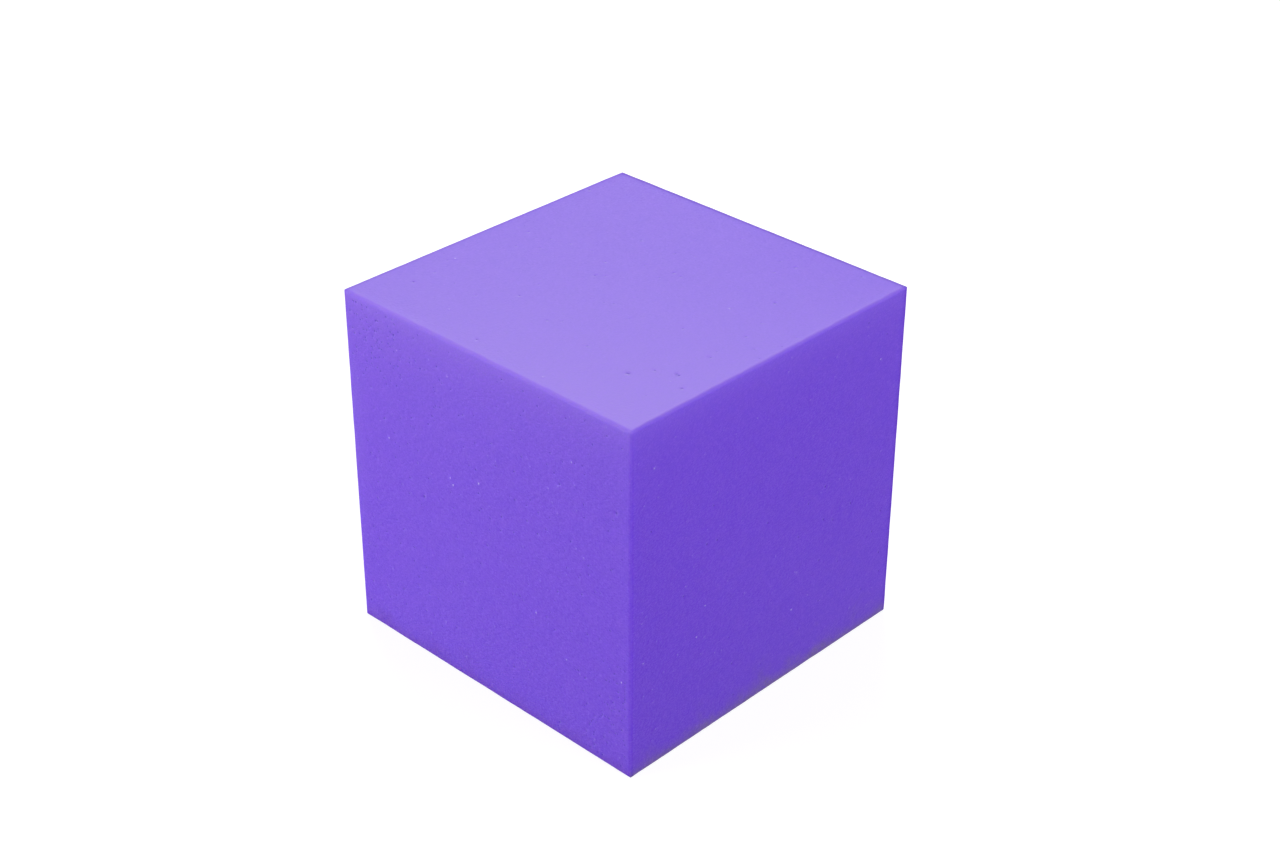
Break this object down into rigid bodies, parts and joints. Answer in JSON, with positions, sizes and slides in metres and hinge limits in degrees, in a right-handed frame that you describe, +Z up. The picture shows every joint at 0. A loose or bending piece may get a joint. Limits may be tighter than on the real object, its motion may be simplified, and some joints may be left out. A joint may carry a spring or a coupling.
{
  "type": "foam block",
  "caption": "Cube of soft cut foam with six flat faces, eased edges and a fine-celled matte surface.",
  "frame": {"origin": "centre of the underside, which is the face that the block stands on", "axes": "+Z up; -Y is the face on the left of the picture and +X the face on the right; X is the width, Y the depth and Z the height"},
  "size_m": [0.1516, 0.151, 0.15],
  "materials": {
    "foam": "open-cell foam, matte, dyed through"
  },
  "bodies": {
    "root": {"foam_block": "foam"}
  },
  "joints": []
}
